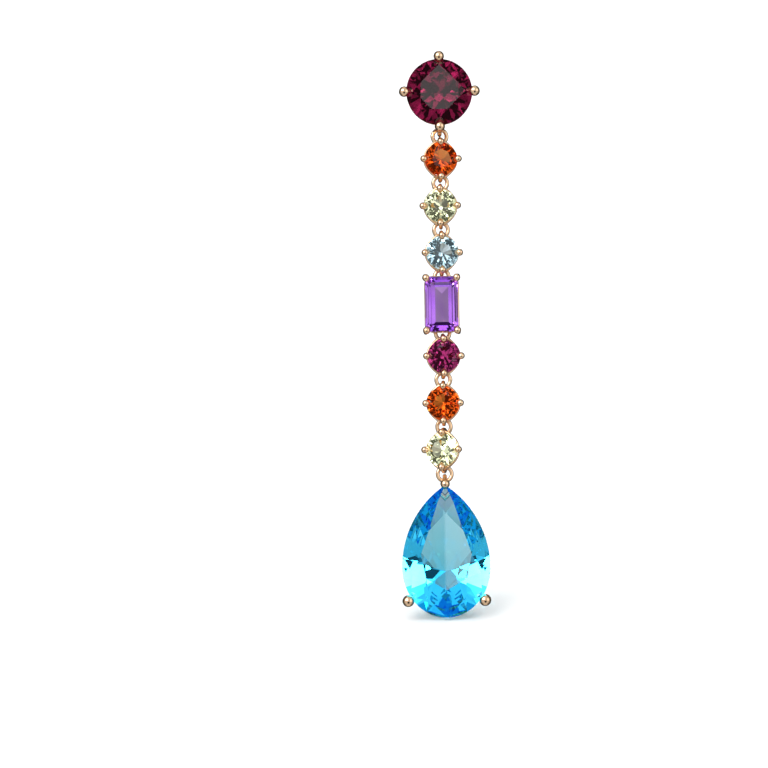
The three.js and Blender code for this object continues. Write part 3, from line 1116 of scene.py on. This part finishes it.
@dataclass(frozen=True)
class GoldFinish:
    """Polished rose gold. relief is how deep, in metres, the bumps of strength bump are."""

    slot: Slot
    light_tone: Rgb
    dark_tone: Rgb
    smooth: float
    worn: float
    bump: float
    relief: float = 2e-6

    def material(self, polish: Tree) -> bpy.types.Material:
        """The material.

        Args:
            polish: The node group of the polished surface.

        Returns:
            The material, ready to put on a piece.
        """
        made, shader = new_material(self.slot.value, {"Metallic": 1.0})
        tree = made.node_tree
        values = {
            "Light Tone": (*self.light_tone, 1),
            "Dark Tone": (*self.dark_tone, 1),
            "Smooth": self.smooth,
            "Worn": self.worn,
        }
        surface = feed(add_node(tree, "Group", node_tree=polish), values).outputs
        relief = {"Strength": self.bump, "Distance": self.relief, "Height": surface["Height"]}
        raised = add_node(tree, "Bump", relief).outputs["Normal"]
        looks = {"Base Color": surface["Tone"], "Roughness": surface["Roughness"], "Normal": raised}
        feed(shader, looks)
        return made


@dataclass(frozen=True)
class GemFinish:
    """A clear cut stone: its colour zones, what it lets through, and how it bends light."""

    slot: Slot
    pale: Rgb
    deep: Rgb
    kept: Rgb
    density: float
    ior: float
    roughness: float = 0.0

    def material(self, zoning: Tree) -> bpy.types.Material:
        """The material.

        Args:
            zoning: The node group of the crystal's colour zones.

        Returns:
            The material, ready to put on a stone.
        """
        clear = {"Transmission Weight": 1.0, "IOR": self.ior, "Roughness": self.roughness}
        made, shader = new_material(self.slot.value, clear)
        tree = made.node_tree
        tones = {"Pale": (*self.pale, 1), "Deep": (*self.deep, 1)}
        zones = feed(add_node(tree, "Group", node_tree=zoning), tones)
        feed(shader, {"Base Color": zones.outputs["Color"]})
        depth = {"Color": (*self.kept, 1), "Density": self.density}
        inside = add_node(tree, "VolumeAbsorption", depth)
        feed(tree.nodes["Material Output"], {"Volume": inside.outputs["Volume"]})
        return made


GOLD = GoldFinish(
    slot=Slot.ROSE_GOLD,
    light_tone=(1.0, 0.76, 0.52),
    dark_tone=(0.90, 0.56, 0.32),
    smooth=0.07,
    worn=0.17,
    bump=0.2,
)

# Each row: slot, pale zones, deep zones, what the inside keeps, density and refraction
GEMS = (
    GemFinish(Slot.GARNET, (0.80, 0.22, 0.46), (0.54, 0.09, 0.28), (0.58, 0.02, 0.32), 500.0, 1.76),
    GemFinish(Slot.CITRINE, (0.98, 0.58, 0.15), (0.90, 0.36, 0.05), (0.93, 0.42, 0.04), 820.0, 1.55),
    GemFinish(Slot.PERIDOT, (1.0, 1.0, 0.88), (0.92, 0.97, 0.68), (0.82, 0.93, 0.32), 120.0, 1.67),
    GemFinish(Slot.SKY_TOPAZ, (0.98, 1.0, 1.0), (0.86, 0.97, 1.0), (0.14, 0.74, 0.97), 150.0, 1.62),
    GemFinish(Slot.AMETHYST, (0.94, 0.76, 1.0), (0.76, 0.50, 0.97), (0.54, 0.12, 0.84), 400.0, 1.55),
    GemFinish(Slot.RHODOLITE, (0.84, 0.26, 0.54), (0.60, 0.11, 0.37), (0.62, 0.04, 0.42), 600.0, 1.76),
    GemFinish(Slot.SWISS_TOPAZ, (0.86, 1.0, 1.0), (0.70, 0.96, 0.98), (0.02, 0.82, 0.98), 330.0, 1.62),
)


# Pieces

BENCH_TO_ROOM = Matrix.Rotation(math.pi / 2, 4, "X")
WIRE_SMOOTH = 45.0
RING_SMOOTH = 60.0
FIRST_SEAM = 140.0
SEAM_STEP = 37.0


def add_object(name: str, data: bpy.types.ID) -> bpy.types.Object:
    """Makes an object of a mesh, a light or a camera, and adds it to the scene."""
    made = bpy.data.objects.new(name, data)
    bpy.context.scene.collection.objects.link(made)
    return made


def as_object(
    name: str, mesh: bmesh.types.BMesh, turn: Matrix, finish: bpy.types.Material, smooth: float | None
) -> bpy.types.Object:
    """Makes an object of a bench mesh, turned to the way it hangs but not yet in its place.

    Args:
        name: The piece's name.
        mesh: The bench mesh in millimetres, which is used up.
        turn: How the link is turned.
        finish: Its finish.
        smooth: The angle in degrees above which an edge stays sharp, or None for flat facets.

    Returns:
        The object.
    """
    mesh.transform(Matrix.Scale(MM, 4) @ turn)
    bmesh.ops.recalc_face_normals(mesh, faces=mesh.faces)
    data = bpy.data.meshes.new(name)
    mesh.to_mesh(data)
    mesh.free()
    if smooth is None:
        data.shade_flat()
    else:
        data.shade_smooth()
        data.set_sharp_from_angle(angle=math.radians(smooth))
    data.materials.append(finish)
    return add_object(name, data)


def middle_of(made: bpy.types.Object) -> Vector:
    """The middle of a mesh's box, in metres."""
    corners = [Vector(corner) for corner in made.bound_box]
    low = Vector(min(corner[axis] for corner in corners) for axis in range(3))
    high = Vector(max(corner[axis] for corner in corners) for axis in range(3))
    return (low + high) / 2


def middle_of_node(node: str) -> Vector:
    """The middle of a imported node's box, in metres."""
    low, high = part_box(node)
    return (low + high) / 2


def stand_for(made: bpy.types.Object, node: str, place: Vector) -> None:
    """Sets a piece at its place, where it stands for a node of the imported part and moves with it.

    Args:
        made: The piece.
        node: The node that it stands for.
        place: How far it moves from the bench's middle, in metres.
    """
    made.location = place
    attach(made, BODY_OF_NODE[node])
    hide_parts(node)
    LOG.info("%s stands for %s on %s", made.name, node, BODY_OF_NODE[node])


@dataclass
class Link:
    """A stone in its setting, with the jump ring that it hangs on."""

    name: str
    gem: Slot
    cut: BrilliantCut | StepCut
    setting: RoundSetting | OctagonSetting | PearSetting
    yaw: float = 0.0
    pitch: float = 0.0
    ring: int | None = None

    def build(self, finishes: dict[Slot, bpy.types.Material]) -> None:
        """Builds and dresses the stone, the setting and the jump ring.

        Args:
            finishes: The material of each slot.
        """
        turned = BENCH_TO_ROOM @ Matrix.Rotation(math.radians(self.yaw), 4, "Y")
        tipped = turned @ Euler((math.radians(-self.pitch), 0, 0)).to_matrix().to_4x4()
        stone = as_object(f"cut_{self.name}", self.cut.build(), tipped, finishes[self.gem], None)
        place = middle_of_node(f"{self.name}_stone") - middle_of(stone)
        stand_for(stone, f"{self.name}_stone", place)
        gold = finishes[Slot.ROSE_GOLD]
        metal = as_object(f"claws_{self.name}", self.setting.build(), tipped, gold, WIRE_SMOOTH)
        stand_for(metal, f"{self.name}_setting", place)
        if self.ring is not None:
            shape = JumpRing(seam_at=FIRST_SEAM + SEAM_STEP * self.ring)
            ring = as_object(f"ring_{self.ring}", shape.build(), turned, gold, RING_SMOOTH)
            node = f"jump_ring_{self.ring}"
            stand_for(ring, node, middle_of_node(node))


LINKS = (
    Link("garnet", Slot.GARNET, GARNET_CUT, GARNET_SETTING),
    Link("citrine_upper", Slot.CITRINE, SMALL_CUT, SMALL_SETTING, yaw=5, ring=1),
    Link("peridot_upper", Slot.PERIDOT, SMALL_CUT, SMALL_SETTING, yaw=-3, ring=2),
    Link("sky_topaz", Slot.SKY_TOPAZ, SMALL_CUT, SMALL_SETTING, yaw=4, ring=3),
    Link("amethyst", Slot.AMETHYST, OCTAGON_CUT, OCTAGON_SETTING, yaw=-3, ring=4),
    Link("rhodolite", Slot.RHODOLITE, SMALL_CUT, SMALL_SETTING, yaw=4, ring=5),
    Link("citrine_lower", Slot.CITRINE, SMALL_CUT, SMALL_SETTING, yaw=-4, ring=6),
    Link("peridot_lower", Slot.PERIDOT, SMALL_CUT, SMALL_SETTING, yaw=-16, pitch=4, ring=7),
    Link("pear_topaz", Slot.SWISS_TOPAZ, PEAR_CUT, PEAR_SETTING, ring=8),
)


# Studio


@dataclass(frozen=True)
class Panel:
    """A panel of light or a dark card in the tent, by its edges in degrees seen from the jewel.

    Azimuth runs from the viewer to the right, and elevation up from the horizon. edge is how wide
    the soft border is.
    """

    left: float
    right: float
    low: float
    high: float
    light: float
    edge: float


PANEL_EDGES = ("Left", "Right", "Low", "High", "Edge")


@dataclass(frozen=True)
class Tent:
    """The light from all round: a level in front, one behind, and panels over them."""

    front: float
    back: float
    panels: tuple[Panel, ...]


METAL_TENT = Tent(
    front=0.66,
    back=0.07,
    panels=(
        Panel(-180, 180, 58, 95, 0.7, 12.0),
        Panel(-66, -8, 6, 54, 4.2, 8.0),
        Panel(34, 76, -10, 36, 1.5, 6.0),
        Panel(-180, 180, -95, -58, 0.6, 8.0),
        Panel(-22, 26, -52, -10, 0.0, 4.0),
    ),
)

FACE_TENT = Tent(
    front=0.03,
    back=0.03,
    panels=(
        Panel(-22, 26, 4.2, 52, 0.8, 0.5),
        Panel(1.25, 20, -12, 1.6, 1.8, 0.06),
        Panel(34, 60, -20, 10, 0.6, 2.0),
    ),
)

STONE_TENT = Tent(
    front=0.9,
    back=0.42,
    panels=(
        Panel(-70, 70, 36, 80, 1.3, 6.0),
        Panel(-70, 70, -80, -36, 1.3, 6.0),
        Panel(-32, 30, -36, -16, 0.75, 2.0),
        Panel(-32, 30, 17, 38, 2.4, 2.0),
        Panel(-30, 28, -18, 19, 0.08, 2.0),
        Panel(-17, 6, -3, 5, 1.35, 1.0),
        Panel(-12, -5, 9, 15, 4.0, 0.8),
        Panel(3, 9, 7, 14, 3.0, 0.8),
        Panel(8, 14, -14, -8, 1.6, 0.8),
        Panel(-7, -2, -13, -8, 1.5, 0.8),
        Panel(-20, -12, -32, -24, 2.2, 1.0),
        Panel(124, 190, -31, -9, 0.66, 3.0),
        Panel(-190, -130, -31, -9, 0.66, 3.0),
    ),
)


def stage_sheet(
    name: str, corners: Sequence[Row], finish: bpy.types.Material, unseen_by: Sequence[str]
) -> None:
    """Sets up a flat sheet of the studio, which isn't part of the earring.

    Args:
        name: Its name.
        corners: Its four corners in metres.
        finish: Its material.
        unseen_by: The kinds of rays that it is hidden from.
    """
    data = bpy.data.meshes.new(name)
    data.from_pydata(corners, [], [(0, 1, 2, 3)])
    data.materials.append(finish)
    made = add_object(name, data)
    for ray in unseen_by:
        setattr(made, f"visible_{ray}", False)


@dataclass
class Studio:
    """A light tent with a pale floor, and the camera that looks at the earring from the front.

    Metal, the faces of the stones and the light that has gone through a stone each have their own
    panels, as in a picture of jewellery that is put together from several shots. Lengths are in
    millimetres and angles in degrees. Rays that have been through clear_depth surfaces see the even
    deep_light.
    """

    bounces: int = 24
    backdrop: float = 1.0
    metal_tent: Tent = METAL_TENT
    face_tent: Tent = FACE_TENT
    stone_tent: Tent = STONE_TENT
    side_end: float = -0.35
    front_start: float = 0.55
    floor_drop: float = 0.05
    floor_size: float = 1600.0
    floor_slope: float = 0.3
    floor_pivot: float = -1.2
    floor_tone: float = 0.9
    floor_grain: float = 0.01
    lamp_power: float = 1.8
    lamp_spread: float = 90.0
    clear_depth: float = 6.5
    deep_light: float = 0.85
    card_light: float = 13.0
    card_edges: tuple[float, ...] = (-8.5, 6.6, -43.8, -36.2, 14.0)
    camera_distance: float = 240.0
    camera_height: float = -36.0
    camera_side: float = -5.4
    camera_pitch: float = 2.3
    camera_roll: float = -0.83
    lens: float = 122.9
    sensor: float = 36.0

    def panel_group(self) -> Tree:
        """A mask that is 1 inside a panel and falls off softly at its edges.

        Returns:
            The node group.
        """
        names = ("Azimuth", "Elevation", *PANEL_EDGES)
        tree, given = start_group("soft_panel", dict.fromkeys(names, 0.0))
        product = None
        for angle, low, high in (("Azimuth", "Left", "Right"), ("Elevation", "Low", "High")):
            for first, second in ((angle, low), (high, angle)):
                inside = calculate(tree, "SUBTRACT", given[first], given[second])
                soft = calculate(tree, "DIVIDE", inside, given["Edge"], clamp=True)
                product = calculate(tree, "MULTIPLY", product, soft) if product else soft
        return end_group(tree, {"Mask": product})

    def tent_level(self, tree: Tree, tent: Tent, mask: Tree, front: Socket, angles: Values) -> Socket:
        """The light that a tent gives in each direction.

        Args:
            tree: The world's tree.
            tent: The tent.
            mask: The node group of a soft panel.
            front: How far each direction points to the viewer, from -1 to 1.
            angles: Azimuth and elevation in degrees, by name.

        Returns:
            The socket with the light's level.
        """
        ends = {"From Min": self.side_end, "From Max": self.front_start}
        level = {"Value": front, **ends, "To Min": tent.back, "To Max": tent.front}
        ramp = add_node(tree, "MapRange", level, interpolation_type="SMOOTHSTEP")
        light = ramp.outputs["Result"]
        for panel in tent.panels:
            edges = {name: getattr(panel, name.lower()) for name in PANEL_EDGES}
            inside = feed(add_node(tree, "Group", node_tree=mask), {**edges, **angles})
            light = blend(tree, inside.outputs["Mask"], light, panel.light)
        return light

    def tent(self) -> None:
        """The light tents: plain white for the camera, with panels for everything else."""
        world = bpy.data.worlds.new("light_tent")
        bpy.context.scene.world = world
        world.use_nodes = True
        tree = world.node_tree
        tree.nodes.clear()
        place = add_node(tree, "TexCoord").outputs["Generated"]
        split = add_node(tree, "SeparateXYZ", {"Vector": place}).outputs
        front = calculate(tree, "MULTIPLY", split["Y"], -1.0)
        around = calculate(tree, "ARCTAN2", split["X"], front)
        above = calculate(tree, "ARCSINE", split["Z"])
        angles = {
            "Azimuth": calculate(tree, "DEGREES", around),
            "Elevation": calculate(tree, "DEGREES", above),
        }
        mask = self.panel_group()
        metal, face, stone = (
            self.tent_level(tree, tent, mask, front, angles)
            for tent in (self.metal_tent, self.face_tent, self.stone_tent)
        )
        path = add_node(tree, "LightPath").outputs
        light = blend(tree, path["Is Singular Ray"], metal, face)
        light = blend(tree, path["Is Transmission Ray"], light, stone)
        deep = calculate(tree, "GREATER_THAN", path["Ray Depth"], self.clear_depth)
        light = blend(tree, deep, light, self.deep_light)
        lit = add_node(tree, "Background", {"Color": WHITE, "Strength": light})
        seen = add_node(tree, "Background", {"Color": WHITE, "Strength": self.backdrop})
        ways = {0: path["Is Camera Ray"], 1: lit.outputs[0], 2: seen.outputs[0]}
        add_node(tree, "OutputWorld", {"Surface": add_node(tree, "MixShader", ways).outputs[0]})

    def floor(self) -> None:
        """A pale, slightly uneven sheet that rises a little behind the pear.

        The jewel doesn't mirror it, and it shows from its upper side alone.
        """
        paper, shader = new_material("floor_paper", {"Roughness": 0.9})
        tree = paper.node_tree
        tone = {
            "Value": add_node(tree, "TexNoise", {"Scale": 40.0}).outputs["Fac"],
            "To Min": self.floor_tone - self.floor_grain,
            "To Max": self.floor_tone + self.floor_grain,
        }
        back = add_node(tree, "NewGeometry").outputs["Backfacing"]
        looks = {
            "Base Color": add_node(tree, "MapRange", tone).outputs["Result"],
            "Alpha": calculate(tree, "SUBTRACT", 1.0, back),
        }
        feed(shader, looks)
        low, _ = BOX_AT_START
        half = self.floor_size * MM / 2
        height = low.z - self.floor_drop * MM
        pivot = self.floor_pivot * MM
        corners = [(-half, -half), (half, -half), (half, half), (-half, half)]
        places = [(x, y, height + (y - pivot) * self.floor_slope) for x, y in corners]
        stage_sheet("studio_floor", places, paper, ("glossy", "transmission"))

    def card(self) -> None:
        """A small bright card close before the pear, which only shows through the stones."""
        lit, shader = new_material("card_light", {"Base Color": BLACK, "Emission Color": WHITE})
        depth = {
            "Value": add_node(lit.node_tree, "LightPath").outputs["Ray Depth"],
            "From Min": self.clear_depth - 0.5,
            "From Max": self.clear_depth + 0.5,
            "To Min": self.card_light,
            "To Max": self.deep_light,
        }
        strength = add_node(lit.node_tree, "MapRange", depth).outputs["Result"]
        feed(shader, {"Emission Strength": strength})
        left, right, low, high, ahead = (size * MM for size in self.card_edges)
        corners = [(left, low), (right, low), (right, high), (left, high)]
        places = [(x, -ahead, z) for x, z in corners]
        stage_sheet("bright_card", places, lit, ("camera", "diffuse", "glossy", "shadow"))

    def lamp(self) -> None:
        """A large soft lamp right above, which brings the floor up to white."""
        data = bpy.data.lights.new("overhead_lamp", "SUN")
        data.angle = math.radians(self.lamp_spread)
        data.energy = self.lamp_power
        made = add_object("overhead_lamp", data)
        made.visible_glossy = False
        made.visible_transmission = False

    def camera(self) -> None:
        """The camera, level with the pear's upper part and pitched a little up."""
        data = bpy.data.cameras.new("camera")
        data.lens = self.lens
        data.sensor_width = self.sensor
        data.clip_start = 0.01
        data.clip_end = 20.0
        made = add_object("camera", data)
        made.location = Vector((self.camera_side, -self.camera_distance, self.camera_height)) * MM
        upright = Matrix.Rotation(math.radians(90 + self.camera_pitch), 4, "X")
        rolled = Matrix.Rotation(math.radians(self.camera_roll), 4, "Z")
        made.rotation_euler = (upright @ rolled).to_euler()
        bpy.context.scene.camera = made

    def build(self) -> None:
        """Sets up the whole studio."""
        self.tent()
        self.floor()
        self.lamp()
        self.card()
        self.camera()
        scene = bpy.context.scene
        scene.view_settings.view_transform = "Standard"
        scene.cycles.max_bounces = self.bounces
        scene.cycles.glossy_bounces = self.bounces
        scene.cycles.transmission_bounces = self.bounces
        LOG.info("studio with light tents, floor, lamp, card and camera")


def main() -> None:
    """Builds the finishes, the links from top to bottom, and the studio."""
    logging.basicConfig(level=logging.INFO, format="%(name)s: %(message)s")
    zoning = zoning_group()
    finishes = {GOLD.slot: GOLD.material(polish_group())}
    for gem in GEMS:
        finishes[gem.slot] = gem.material(zoning)
    for link in LINKS:
        link.build(finishes)
    Studio().build()


if __name__ == "__main__":
    main()
